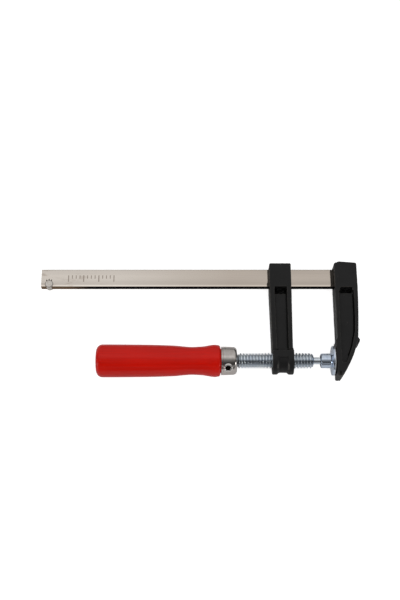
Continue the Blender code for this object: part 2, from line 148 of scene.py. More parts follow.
def turned(profile, closed=False, steps=96):
    """A profile of (x, radius) points spun about the x axis."""
    bm = bmesh.new()
    verts = [bm.verts.new((x, radius, 0)) for x, radius in profile]
    pairs = list(zip(verts, verts[1:]))
    if closed:
        pairs.append((verts[-1], verts[0]))
    edges = [bm.edges.new(pair) for pair in pairs]
    bmesh.ops.spin(
        bm, geom=verts + edges, cent=(0, 0, 0), axis=(1, 0, 0), angle=math.tau, steps=steps,
        use_merge=True,
    )
    bmesh.ops.remove_doubles(bm, verts=bm.verts, dist=TOUCHING)
    return bm


def rod(radius, x0, x1, steps=48):
    """A round bar on the x axis."""
    return turned([(x0, 0), (x0, radius), (x1, radius), (x1, 0)], steps=steps)


def smooth_profile(knots, steps):
    """Points on a curve through (x, radius) knots, with no bulge past them (monotone cubic)."""
    slopes = []
    for i in range(len(knots)):
        if i in (0, len(knots) - 1):
            slopes.append(0.0)
            continue
        before = (knots[i][1] - knots[i - 1][1]) / (knots[i][0] - knots[i - 1][0])
        after = (knots[i + 1][1] - knots[i][1]) / (knots[i + 1][0] - knots[i][0])
        slopes.append(0.0 if before * after <= 0 else 2 * before * after / (before + after))
    points = []
    for i in range(len(knots) - 1):
        (x0, r0), (x1, r1) = knots[i], knots[i + 1]
        span = x1 - x0
        for step in range(steps):
            t = step / steps
            radius = (
                (1 + 2 * t) * (1 - t) ** 2 * r0
                + t * (1 - t) ** 2 * span * slopes[i]
                + t * t * (3 - 2 * t) * r1
                + t * t * (t - 1) * span * slopes[i + 1]
            )
            points.append((x0 + span * t, radius))
    points.append(knots[-1])
    return points


def finish_bmesh(bm):
    """Face every normal outwards."""
    bmesh.ops.recalc_face_normals(bm, faces=bm.faces)
    if bm.calc_volume(signed=True) < 0:
        bmesh.ops.reverse_faces(bm, faces=bm.faces)


def add(name, data):
    made = bpy.data.objects.new(name, data)
    bpy.context.scene.collection.objects.link(made)
    return made


def shape(name, bm, smooth_angle=32):
    """An object from a bmesh drawn in the working frame."""
    finish_bmesh(bm)
    mesh = bpy.data.meshes.new(name)
    bm.to_mesh(mesh)
    bm.free()
    mesh.shade_smooth()
    mesh.set_sharp_from_angle(angle=math.radians(smooth_angle))
    return add(name, mesh)


def combine(target, bm, operation):
    """Add a shape to the target or cut it away, then drop the shape."""
    cutter = shape(target.name + "_cutter", bm)
    step = target.modifiers.new("step", "BOOLEAN")
    step.operation = operation
    step.solver = "EXACT"
    step.object = cutter
    settle(target)
    bpy.data.objects.remove(cutter, do_unlink=True)


def settle(target):
    """Apply every modifier that the object has."""
    bpy.context.view_layer.update()
    graph = bpy.context.evaluated_depsgraph_get()
    mesh = bpy.data.meshes.new_from_object(target.evaluated_get(graph))
    target.modifiers.clear()
    old = target.data
    target.data = mesh
    bpy.data.meshes.remove(old)
    mesh.name = target.name


def soften(target, voxel, passes):
    """Give a casting the soft corners and fillets that its mould leaves."""
    remesh = target.modifiers.new("remesh", "REMESH")
    remesh.mode = "VOXEL"
    remesh.voxel_size = voxel
    remesh.use_smooth_shade = True
    smooth = target.modifiers.new("smooth", "SMOOTH")
    smooth.factor = 0.5
    smooth.iterations = passes
    settle(target)


def roughen(target, height, size, seed):
    """Push a surface in and out a little, as the sand of a mould leaves it."""
    mesh = target.data
    spots = np.zeros(len(mesh.vertices) * 3)
    outward = np.zeros(len(mesh.vertices) * 3)
    mesh.vertices.foreach_get("co", spots)
    mesh.vertex_normals.foreach_get("vector", outward)
    shift = Vector((seed, seed, seed))
    push = [
        noise.fractal(Vector(spot) / size + shift, 0.9, 2.1, 3)
        for spot in spots.reshape(-1, 3)
    ]
    spots += (outward.reshape(-1, 3) * np.array(push)[:, None] * height).ravel()
    mesh.vertices.foreach_set("co", spots)
    mesh.update()


def inside(outline, x, y):
    """Which of the points (x, y) lie inside an outline, by counting its edges to their right."""
    crossed = np.zeros(len(x), dtype=bool)
    for (x0, y0), (x1, y1) in zip(outline, outline[1:] + outline[:1]):
        if y0 == y1:
            continue
        spans = (y0 > y) != (y1 > y)
        crossed ^= spans & (x < x0 + (y - y0) * (x1 - x0) / (y1 - y0))
    return crossed


def mark(target, name, regions):
    """Store on a casting where regions are, as (outline, height) pairs, for its enamel to read."""
    mesh = target.data
    spots = np.zeros(len(mesh.vertices) * 3)
    mesh.vertices.foreach_get("co", spots)
    x, y, z = spots.reshape(-1, 3).T
    held = np.zeros(len(x))
    for outline, height in regions:
        held = np.maximum(held, inside(outline, x, y) & (np.abs(z) < height))
    mesh.attributes.new(name, "FLOAT", "POINT").data.foreach_set("value", held.astype(float))


def place(target, body, look, nodes, smooth_angle=32):
    """Move a finished shape into the row frame and tie it to its CAD body."""
    target.data.transform(Matrix.Translation(ORIGIN))
    target.data.materials.clear()
    target.data.materials.append(look)
    target.data.shade_smooth()
    target.data.set_sharp_from_angle(angle=math.radians(smooth_angle))
    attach(target, body)
    if nodes:
        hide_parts(*nodes)


# ---------------- materials

class Nodes:
    """A node tree, with the steps that the looks and the light tent share."""

    def __init__(self, tree):
        self.tree = tree

    def node(self, kind, **settings):
        made = self.tree.nodes.new(kind)
        for key, value in settings.items():
            setattr(made, key, value)
        return made

    def feed(self, socket, value):
        if isinstance(value, bpy.types.NodeSocket):
            self.tree.links.new(value, socket)
        else:
            socket.default_value = value

    def split(self, vector):
        """The X, Y and Z of a vector, by name."""
        made = self.node("ShaderNodeSeparateXYZ")
        self.feed(made.inputs[0], vector)
        return made.outputs

    def span(self, value, low, high, to_low=0.0, to_high=1.0, smooth=False):
        made = self.node("ShaderNodeMapRange", clamp=True)
        made.interpolation_type = "SMOOTHSTEP" if smooth else "LINEAR"
        self.feed(made.inputs["Value"], value)
        for key, number in (("From Min", low), ("From Max", high),
                            ("To Min", to_low), ("To Max", to_high)):
            made.inputs[key].default_value = number
        return made.outputs["Result"]

    def maths(self, operation, first, second=0.0):
        made = self.node("ShaderNodeMath", operation=operation)
        self.feed(made.inputs[0], first)
        self.feed(made.inputs[1], second)
        return made.outputs[0]

    def times(self, *values):
        result = values[0]
        for value in values[1:]:
            result = self.maths("MULTIPLY", result, value)
        return result


class Look(Nodes):
    """One Principled material, with nodes that read the piece's own coordinates in metres."""

    def __init__(self, name):
        self.material = bpy.data.materials.new(name)
        self.material.use_nodes = True
        super().__init__(self.material.node_tree)
        self.shader = self.tree.nodes["Principled BSDF"]
        self.place = self.node("ShaderNodeTexCoord").outputs["Object"]
        self.normal = None

    def stretched(self, kind, stretch):
        """A texture with that many features per metre along each axis."""
        mapping = self.node("ShaderNodeMapping")
        self.feed(mapping.inputs["Vector"], self.place)
        mapping.inputs["Scale"].default_value = stretch
        made = self.node(kind)
        self.feed(made.inputs["Vector"], mapping.outputs["Vector"])
        made.inputs["Scale"].default_value = 1.0
        return made

    def grain(self, stretch, detail=4.0, roughness=0.55, distortion=0.0):
        """Noise from 0 to 1."""
        made = self.stretched("ShaderNodeTexNoise", stretch)
        made.inputs["Detail"].default_value = detail
        made.inputs["Roughness"].default_value = roughness
        made.inputs["Distortion"].default_value = distortion
        return made.outputs["Fac"]

    def cells(self, stretch):
        """The distance to the nearest of many scattered points."""
        return self.stretched("ShaderNodeTexVoronoi", stretch).outputs["Distance"]

    def mix(self, factor, first, second):
        made = self.node("ShaderNodeMix", data_type="RGBA")
        colours = [socket for socket in made.inputs if socket.type == "RGBA"]
        self.feed(made.inputs[0], factor)
        self.feed(colours[0], self.opaque(first))
        self.feed(colours[1], self.opaque(second))
        return [socket for socket in made.outputs if socket.type == "RGBA"][0]

    @staticmethod
    def opaque(colour):
        return colour if isinstance(colour, bpy.types.NodeSocket) else (*colour, 1.0)

    def shade(self, colour, value):
        """A colour made lighter or darker by a value around 1."""
        made = self.node("ShaderNodeVectorMath", operation="SCALE")
        self.feed(made.inputs[0], colour)
        self.feed(made.inputs["Scale"], value)
        return made.outputs[0]

    def axis(self, name):
        return self.split(self.place)[name]

    def facing(self, name, output="Normal"):
        """One component of the surface normal in the piece's own frame."""
        turn = self.node(
            "ShaderNodeVectorTransform", vector_type="NORMAL",
            convert_from="WORLD", convert_to="OBJECT",
        )
        self.feed(turn.inputs[0], self.node("ShaderNodeNewGeometry").outputs[output])
        return self.split(turn.outputs[0])[name]

    def edges(self, low, high):
        return self.span(self.node("ShaderNodeNewGeometry").outputs["Pointiness"], low, high)

    def marked(self, name):
        """What mark() stored on the piece."""
        return self.node("ShaderNodeAttribute", attribute_name=name).outputs["Fac"]

    def bump(self, height, distance, strength):
        made = self.node("ShaderNodeBump")
        made.inputs["Strength"].default_value = strength
        made.inputs["Distance"].default_value = distance
        self.feed(made.inputs["Height"], height)
        if self.normal is not None:
            self.feed(made.inputs["Normal"], self.normal)
        self.normal = made.outputs["Normal"]
        self.feed(self.shader.inputs["Normal"], self.normal)

    def finish(self, **sockets):
        for key, value in sockets.items():
            self.feed(self.shader.inputs[key.replace("_", " ")], value)
        return self.material


def etched_scale(look, x, y):
    """Where a plain scale is etched near the rail's free end: short ticks, each fourth long."""
    start, length, overrun = rail_low.x + 18 * MM, 30 * MM, 0.3 * MM
    along = look.maths("SUBTRACT", x, start)
    below = look.maths("SUBTRACT", RAIL_Y + 2.0 * MM, y)

    def ticks(spacing, half_width, reach):
        from_tick = look.maths("PINGPONG", along, spacing / 2)
        return look.times(look.maths("LESS_THAN", from_tick, half_width),
                          look.maths("LESS_THAN", below, reach))

    return look.times(
        look.maths("MAXIMUM", ticks(2.5 * MM, 0.30 * MM, 2.4 * MM),
                   ticks(10.0 * MM, 0.36 * MM, 4.6 * MM)),
        look.maths("GREATER_THAN", along, -overrun),
        look.maths("LESS_THAN", along, length + overrun),
        look.maths("GREATER_THAN", below, 0.0),
        look.maths("GREATER_THAN", look.facing("Z"), 0.9),
    )


def oily_joints(look, x, y, outward):
    """Where dark oil sits: in the staking dents and in the joint round the stop pin."""
    upright = look.maths("ABSOLUTE", outward)
    depth = look.maths("ABSOLUTE", look.maths("SUBTRACT", look.axis("Z"), MIDDLE_Z))
    dented = look.times(
        look.span(depth, RAIL_HALF - 0.06 * MM, RAIL_HALF - 0.16 * MM),
        look.maths("GREATER_THAN", upright, 0.42),
    )
    centre = (stop_low + stop_high) / 2
    flat = look.node("ShaderNodeCombineXYZ")
    look.feed(flat.inputs["X"], x)
    look.feed(flat.inputs["Y"], y)
    from_stop = look.node("ShaderNodeVectorMath", operation="DISTANCE")
    look.feed(from_stop.inputs[0], flat.outputs[0])
    from_stop.inputs[1].default_value = (centre.x, centre.y, 0.0)
    ringed = look.times(
        look.span(from_stop.outputs["Value"], STOP_RADIUS + 0.32 * MM, STOP_RADIUS + 0.12 * MM),
        look.maths("GREATER_THAN", upright, 0.8), 0.8,
    )
    return look.maths("MAXIMUM", dented, ringed)


def rail_look():
    """Satin nickel brushed along the bar and stained by the free end, with painted light: lit pale
    towards the free end, shaded towards the jaw and below, and a highlight along the lower edge.
    """
    look = Look("rail_satin_nickel")
    lit_nickel, shaded_nickel, stain = (0.790, 0.730, 0.665), (0.602, 0.534, 0.468), (0.34, 0.255, 0.20)
    etch, oil_and_shade = (0.34, 0.29, 0.25), (0.045, 0.038, 0.034)
    brown_painted_reflection, black_painted_shade = (0.20, 0.135, 0.085), (0.0045, 0.0045, 0.0055)
    x, y = look.axis("X"), look.axis("Y")
    brush = look.grain((12, 1500, 1500), detail=2)
    fine = look.grain((40, 6000, 6000), detail=1)
    broad = look.grain((14, 90, 90), detail=2)
    # painted shade: on top of its random tone, the flat darkens towards its lower edge
    tone = look.times(
        look.maths("ADD", look.span(brush, 0.3, 0.7, -0.02, 0.02),
                   look.span(broad, 0.3, 0.7, 0.96, 1.03)),
        look.span(y, RAIL_Y - 6.0 * MM, RAIL_Y + 1.5 * MM, 0.85, 1.01, smooth=True),
    )
    stained = look.times(
        look.span(look.grain((70, 240, 240), detail=5, distortion=0.6), 0.50, 0.72, smooth=True),
        look.span(x, -0.045, -0.100, 0.0, 0.55),
    )
    # painted light: the nickel is painted lit towards the free end and in shade towards the jaw
    nickel = look.shade(look.mix(look.span(x, -0.055, 0.02), lit_nickel, shaded_nickel), tone)
    colour = look.mix(stained, nickel, stain)
    wear_and_highlight_mask = look.span(look.grain((900, 900, 900), detail=3), 0.35, 0.6, 0.80, 0.95)
    colour = look.mix(look.times(etched_scale(look, x, y), wear_and_highlight_mask), colour, etch)
    # painted highlight: the flat is lighter in a strip along its lower edge
    rubbed_and_highlight = look.times(look.span(y, rail_low.y + 1.50 * MM, rail_low.y + 1.25 * MM),
                        look.span(brush, 0.2, 0.6, 0.85, 1.0))
    colour = look.shade(colour, look.span(rubbed_and_highlight, 0.0, 1.0, 1.0, 1.42))
    # painted shade and reflection: the narrow side below the rail is near black, browner near the
    # free end
    outward = look.facing("Z", "True Normal")
    dark_underside_shade = look.times(look.maths("LESS_THAN", look.facing("Y", "True Normal"), -0.30),
                       look.maths("LESS_THAN", outward, 0.93))
    from_end = look.span(x, rail_low.x + 14 * MM, rail_low.x + 34 * MM, smooth=True)
    colour = look.mix(dark_underside_shade, colour, look.mix(from_end, brown_painted_reflection, black_painted_shade))
    colour = look.mix(oily_joints(look, x, y, outward), colour, oil_and_shade)
    scratch = look.span(look.cells((14, 700, 700)), 0.0, 0.035, 1.0, 0.0)
    rough = look.maths("ADD", look.span(fine, 0.3, 0.7, 0.05, 0.08), look.times(scratch, 0.05))
    look.bump(brush, 0.003 * MM, 0.3)
    look.bump(fine, 0.0015 * MM, 0.3)
    return look.finish(
        Base_Color=colour,
        Roughness=look.maths("MAXIMUM", rough, look.times(dark_underside_shade, 0.7)),
        Metallic=look.span(dark_underside_shade, 0.0, 1.0, 1.0, 0.0),
        Specular_IOR_Level=0.0,
    )


def steel_look(name, colour, rough):
    """Plain steel, mottled browner in places and finely pitted."""
    look = Look(name)
    browner = tuple(c * share for c, share in zip(colour, (0.9, 0.86, 0.8)))
    mottle = look.grain((900, 900, 900), detail=4)
    pits = look.span(look.cells((1440, 1440, 1440)), 0.05, 0.16, 1.0, 0.0)
    base = look.mix(look.span(mottle, 0.35, 0.75), colour, browner)
    base = look.mix(look.times(pits, 0.25), base, tuple(0.45 * c for c in colour))
    look.bump(mottle, 0.02 * MM, 0.5)
    return look.finish(
        Base_Color=base, Roughness=look.span(mottle, 0.3, 0.7, rough - 0.05, rough + 0.08),
        Metallic=1.0,
    )


def enamel_look(name, colour):
    """Black enamel sprayed over a casting: grainy, with painted shade in its recesses, and edges
    lighter from wear and painted highlight.
    """
    look = Look(name)
    worn_edge_and_highlight_colour, collar_highlight_colour = (0.115, 0.105, 0.095), (0.085, 0.080, 0.075)
    deep_shade_colour, dust = (0.0050, 0.0050, 0.0050), (0.30, 0.29, 0.27)
    coarse = look.grain((520, 520, 520), detail=3)
    fine = look.grain((2600, 2600, 2600), detail=3, roughness=0.6)
    broad = look.grain((60, 60, 60), detail=3)
    tone = look.times(look.span(broad, 0.3, 0.7, 0.82, 1.18), look.span(fine, 0.25, 0.75, 0.8, 1.2))
    base = look.shade(colour, tone)
    # worn paint and painted highlight: convex edges are lighter
    edge_wear_and_highlight = look.times(look.edges(0.51, 0.58), look.span(coarse, 0.35, 0.65, 0.25, 1.0))
    base = look.mix(look.times(edge_wear_and_highlight, 0.7), base, worn_edge_and_highlight_colour)
    # painted shade: the marked recesses, channels and windows are painted near black
    shaded_recess = look.marked("shaded_recess")
    base = look.mix(shaded_recess, base, deep_shade_colour)
    # painted highlight: the marked collar edges are painted lighter
    rubbed_and_highlight = look.times(look.marked("rubbed_and_highlight"), look.span(fine, 0.3, 0.6))
    base = look.mix(rubbed_and_highlight, base, collar_highlight_colour)
    speck = look.times(
        look.span(look.cells((620, 620, 620)), 0.0, 0.10, 1.0, 0.0),
        look.span(look.grain((240, 240, 240), detail=1), 0.60, 0.66),
    )
    base = look.mix(look.times(speck, 0.6), base, dust)
    look.bump(coarse, 0.05 * MM, 0.5)
    look.bump(fine, 0.022 * MM, 0.55)
    return look.finish(
        Base_Color=base, Metallic=0.0, Specular_IOR_Level=0.24,
        Roughness=look.maths("MAXIMUM", look.span(fine, 0.25, 0.75, 0.36, 0.56),
                             look.times(shaded_recess, 0.85)),
    )


def zinc_look(name, light, blue, across, root=None):
    """Blue-white zinc: a cool sheen that drifts in tint, with tool marks round the axis.

    With the radius of a thread's root, oil and painted shade darken the thread towards its root;
    without it, the side that faces the fixed jaw is painted pale as a highlight, as on the pad's rim.
    """
    look = Look(name)
    straw, oil_and_shade, rubbed_and_highlight = (0.80, 0.78, 0.70), (0.20, 0.22, 0.25), (0.95, 0.96, 0.97)
    drift = look.grain((260, 260, 260), detail=3)
    cloud = look.grain((900, 900, 900), detail=4)
    marks = look.grain(across, detail=2)
    base = look.mix(look.span(drift, 0.35, 0.65), light, blue)
    base = look.mix(look.span(cloud, 0.55, 0.8, 0.0, 0.30), base, straw)
    # painted shade: surfaces turned away from the fixed jaw are darker
    base = look.shade(base, look.times(
        look.span(marks, 0.3, 0.7, 0.93, 1.05),
        look.span(look.facing("X"), -0.45, -0.15, 0.84, 1.0),
    ))
    if root is None:
        # painted highlight: the side facing the fixed jaw is pale and less metallic
        wear_and_highlight_mask = look.span(look.facing("X"), 0.10, 0.40, smooth=True)
        base = look.mix(wear_and_highlight_mask, base, rubbed_and_highlight)
        metallic = look.span(wear_and_highlight_mask, 0.0, 1.0, 1.0, 0.25)
    else:
        off_y = look.maths("SUBTRACT", look.axis("Y"), AXIS_Y)
        off_z = look.maths("SUBTRACT", look.axis("Z"), MIDDLE_Z)
        radius = look.maths("SQRT", look.maths("ADD", look.times(off_y, off_y),
                                               look.times(off_z, off_z)))
        # oil and painted shade: the thread darkens towards its root
        oil_and_root_shade = look.times(
            look.span(radius, root + 0.65 * MM, root + 0.05 * MM, smooth=True),
            look.maths("LESS_THAN", look.axis("X"), ORIGIN.x + THREAD[1] - 0.3 * MM),
        )
        base = look.mix(look.times(oil_and_root_shade, 0.48), base, oil_and_shade)
        metallic = 1.0
    look.bump(marks, 0.008 * MM, 0.5)
    look.bump(cloud, 0.012 * MM, 0.4)
    return look.finish(
        Base_Color=base, Roughness=look.span(cloud, 0.3, 0.7, 0.11, 0.21), Metallic=metallic,
    )


def lacquer_look():
    """Red lacquer over turned wood: the grain shows faintly along the handle."""
    look = Look("handle_red_lacquer")
    red, deep_red, pore = (0.665, 0.0063, 0.0010), (0.58, 0.0052, 0.0008), (0.40, 0.006, 0.003)
    rubbed_and_highlight, bare_wood_and_hole_shade = (0.62, 0.07, 0.05), (0.020, 0.013, 0.009)
    grain = look.grain((28, 1100, 1100), detail=5, roughness=0.6, distortion=0.3)
    pores = look.grain((120, 4200, 4200), detail=2)
    broad = look.grain((30, 90, 90), detail=2)
    base = look.mix(look.span(grain, 0.35, 0.7), red, deep_red)
    base = look.shade(base, look.span(broad, 0.3, 0.7, 0.93, 1.06))
    base = look.mix(look.span(pores, 0.66, 0.80, 0.0, 0.25), base, pore)
    wear_and_highlight_mask = look.times(look.edges(0.53, 0.60), look.span(grain, 0.4, 0.6, 0.3, 1.0))
    base = look.mix(look.times(wear_and_highlight_mask, 0.25), base, rubbed_and_highlight)
    # the tenon inside the ferrule is bare wood, painted near black as the shade deep in the pin's
    # hole
    tenon = look.maths("GREATER_THAN", look.axis("X"), ferrule_low.x + 0.4 * MM)
    base = look.mix(tenon, base, bare_wood_and_hole_shade)
    look.bump(grain, 0.035 * MM, 0.45)
    look.bump(broad, 0.25 * MM, 0.25)
    return look.finish(
        Base_Color=base, Roughness=look.span(grain, 0.3, 0.7, 0.30, 0.42), Metallic=0.0,
        Specular_IOR_Level=0.06, Coat_Weight=0.40, Coat_Roughness=0.09, Coat_IOR=1.5,
    )


def ferrule_look(name, light, dull):
    """Bright nickel, spun round the axis and scratched across it."""
    look = Look(name)
    rings = look.grain((5200, 160, 160), detail=2)
    cloud = look.grain((300, 300, 300), detail=4)
    base = look.mix(look.span(cloud, 0.35, 0.7), light, dull)
    base = look.shade(base, look.span(rings, 0.3, 0.7, 0.95, 1.04))
    scratch = look.span(look.cells((300, 1400, 1400)), 0.0, 0.03, 1.0, 0.0)
    look.bump(rings, 0.006 * MM, 0.5)
    look.bump(cloud, 0.06 * MM, 0.35)
    return look.finish(
        Base_Color=base, Metallic=1.0,
        Roughness=look.maths("ADD", look.span(cloud, 0.3, 0.7, 0.08, 0.15),
                             look.times(scratch, 0.12)),
    )


# ---------------- rail and its stop

DENT_ANGLES = (122, 92, 62)            # degrees round the stop pin, three staking dents a side
DENT_SIZE = (0.75 * MM, 0.36 * MM, 0.45 * MM)


def make_rail(look):
    low, high = local(rail_low), local(rail_high)
    wide, thick = (high.y - low.y) / 2, (high.z - low.z) / 2
    # a flat bar whose corners the rolls leave as soft chamfers, (across the flat, down the side)
    under_back, under_front, upper = mm((0.36, 0.75), (0.25, 0.20), (0.40, 0.30))
    soft, end_edge = 0.10 * MM, 0.12 * MM
    section = rounded([
        (-wide, -thick + under_back[1], soft), (-wide + under_back[0], -thick, soft),
        (wide - upper[0], -thick, soft), (wide, -thick + upper[1], soft),
        (wide, thick - upper[1], soft), (wide - upper[0], thick, soft),
        (-wide + under_front[0], thick, soft), (-wide, thick - under_front[1], soft),
    ], 3)
    bm = prism(section, low.x, high.x, end_edge, 2)
    # the section is drawn across x and y, and the bar runs along x
    bm.transform(Matrix(((0, 0, 1, 0), (1, 0, 0, 0), (0, 1, 0, 0), (0, 0, 0, 1))))
    bm.transform(Matrix.Translation((0, (low.y + high.y) / 2, (low.z + high.z) / 2)))
    rail = shape("rail_bar", bm)
    hole = arc(STOP_CENTRE.xy, STOP_RADIUS + 0.04 * MM, 0, 354, 59)
    combine(rail, prism(hole, -RAIL_HALF * 2, RAIL_HALF * 2), "DIFFERENCE")
    for angle in (math.radians(degrees) for degrees in DENT_ANGLES):
        for side in (1, -1):
            bm = bmesh.new()
            bmesh.ops.create_uvsphere(bm, u_segments=20, v_segments=12, radius=1.0)
            reach = STOP_RADIUS + 0.55 * MM
            spot = Vector((
                STOP_CENTRE.x + reach * math.cos(angle), STOP_CENTRE.y + reach * math.sin(angle),
                side * (RAIL_HALF + 0.10 * MM),
            ))
            bm.transform(
                Matrix.Translation(spot) @ Matrix.Rotation(angle, 4, "Z")
                @ Matrix.Diagonal((*DENT_SIZE, 1.0))
            )
            combine(rail, bm, "DIFFERENCE")
    place(rail, "rail_and_jaw", look, ["rail"])


def make_stop(look):
    half = (stop_high.z - stop_low.z) / 2
    edge, flat = 0.45 * MM, STOP_RADIUS * 0.45
    profile = [(-half, 0), (-half, flat)]
    profile += arc((-half + edge, STOP_RADIUS - edge), edge, 180, 90, 6)
    profile += arc((half - edge, STOP_RADIUS - edge), edge, 90, 0, 6)
    profile += [(half, flat), (half, 0)]
    bm = turned(profile, steps=64)
    bm.transform(Matrix.Rotation(math.pi / 2, 4, "Y"))
    bm.transform(Matrix.Translation(STOP_CENTRE))
    stop = shape("rail_stop_pin", bm)
    place(stop, "rail_and_jaw", look, ["rail_end_stop"])


# ---------------- castings

VOXEL = 0.27 * MM
WEB_HALF = 5.0 * MM                    # half the thickness of the web between the ribs
RAIL_GAP = 0.3 * MM
BOSS_GROOVE = (5.0 * MM, 5.9 * MM)     # y of the groove across the top of the boss
CASTING_EDGE = 0.55 * MM
SKIN = 0.06 * MM                       # room inside the CAD box for the cast roughness
CUT_PAST = CASTING_HALF * 1.5          # cutters reach beyond the casting's sides
RIB_TOP = 44.0 * MM                    # where the channels along the ribs end
PANEL_TOP = 46.4 * MM


def rail_slot(x0, x1):
    low, high = local(rail_low), local(rail_high)
    half = RAIL_HALF + RAIL_GAP
    return prism(rectangle(x0, x1, low.y - RAIL_GAP, high.y + RAIL_GAP), -half, half)


def window(left, right, low, high):
    corner = 0.8 * MM
    return rounded([(left, low, corner), (right, low, corner),
                    (right, high, corner), (left, high, corner)])


def sink(casting, outline, floor=WEB_HALF):
    """Cut an outline into both sides of a casting, down to a floor beside its middle plane."""
    for side in (1, -1):
        near, far = sorted((side * floor, side * CUT_PAST))
        combine(casting, prism(outline, near, far), "DIFFERENCE")


def weather(casting, seed):
    """Soft corners and fillets, then the grain of the mould's sand."""
    soften(casting, VOXEL, 5)
    roughen(casting, 0.05 * MM, 1.6 * MM, seed)


def jaw_outline():
    """The jaw from the side: round its tip, up the back rib, over the head and down the face."""
    top, tip = local(jaw_high).y - SKIN, local(jaw_low).y + SKIN
    tip_radius, back_top = 0.8 * MM, (JAW_BACK - SKIN, 56.0 * MM)
    taper_top, nib_root, above_nib = mm((12.7, 7.3), (14.0, 11.8), (14.5, 14.9))
    outline = rounded([
        (0.0, 0.0, 0.0), (0.0, tip, tip_radius), (3.2 * MM, tip, tip_radius), (*taper_top, 0.0),
    ], 5)[1:-1]
    outline += bowed(outline[-1], taper_top, 0.9 * MM, 10)
    outline += [taper_top, nib_root, above_nib]
    outline += bowed(above_nib, back_top, 0.4 * MM, 8)
    outline += [back_top, (JAW_BACK - 0.1 * MM, top - 1.5 * MM)]
    outline += [(JAW_BACK - 0.7 * MM, top - 0.8 * MM)]
    # the head steps down towards the face
    outline += [(x, top - drop)
                for x, drop in mm((5.0, 0.0), (3.4, 0.0), (2.8, 0.6), (1.7, 0.7), (1.0, 1.3))]
    return outline + mm((1.0, 13.4), (0.0, 12.2))


def make_fixed_jaw(look):
    jaw = shape("fixed_jaw_casting",
                prism(jaw_outline(), -CASTING_HALF, CASTING_HALF, CASTING_EDGE))
    # a narrower nib stands out of the back rib
    spur, spur_half = rounded(mm(
        (14.4, 15.0, 0), (12.0, 12.5, 0), (12.3, 7.8, 0), (15.2, 10.8, 1.0), (15.8, 12.7, 0.5),
    )), 5.6 * MM
    combine(jaw, prism(spur, -spur_half, spur_half, 0.25 * MM), "UNION")
    sink(jaw, rounded([
        *mm((3.3, -3.2, 1.0), (6.1, -3.2, 1.0), (10.2, 7.8, 6.0), (12.0, 20.0, 8.0)),
        (13.0 * MM, PANEL_TOP, 1.2 * MM), (3.3 * MM, PANEL_TOP, 1.2 * MM),
    ]))
    # the channel that the core leaves along the back rib
    rib_foot = [(13.0 * MM, RIB_TOP), *mm((12.9, 28.0), (12.4, 18.0), (10.2, 7.8), (8.0, 2.0))]
    channel = rib_foot + [(x - 0.75 * MM, y) for x, y in reversed(rib_foot)]
    sink(jaw, channel, 3.6 * MM)
    combine(jaw, rail_slot(-2 * MM, local(rail_high).x + RAIL_GAP), "DIFFERENCE")
    opening = window(4.2 * MM, 12.2 * MM, 44.7 * MM, 48.1 * MM)
    combine(jaw, prism(opening, -CUT_PAST, CUT_PAST), "DIFFERENCE")
    for side in (1, -1):
        dimple = rod(0.95 * MM, -1.0 * MM, 1.0 * MM)
        dimple.transform(Matrix.Rotation(math.pi / 2, 4, "Y"))
        dimple.transform(Matrix.Diagonal((0.8, 1.25, 1.0, 1.0)))
        dimple.transform(Matrix.Translation((2.0 * MM, -10.2 * MM, side * CASTING_HALF)))
        combine(jaw, dimple, "DIFFERENCE")
    weather(jaw, 3.0)
    # painted shade: the channel and the window are marked for the enamel to darken
    mark(jaw, "shaded_recess", [(channel, WEB_HALF - 0.2 * MM), (opening, CASTING_HALF - 0.6 * MM)])
    place(jaw, "rail_and_jaw", look, ["fixed_jaw"], 180)


def spool(left, right, radius, waist_radius, waist):
    """The round half of the boss: two collars with a soft waist between them."""
    edge, slope, steps = 0.6 * MM, 0.9 * MM, 8
    profile = [(left, 0)]
    profile += arc((left + edge, radius - edge), edge, 180, 90, 4)
    for x, before, after in ((waist[0], radius, waist_radius), (waist[1], waist_radius, radius)):
        for i in range(steps + 1):
            t = i / steps
            bend = 0.5 - 0.5 * math.cos(math.pi * t)
            profile.append((x - slope + 2 * slope * t, before + (after - before) * bend))
    profile += arc((right - edge, radius - edge), edge, 90, 0, 4)
    profile += [(right, 0)]
    return turned(profile, steps=96)


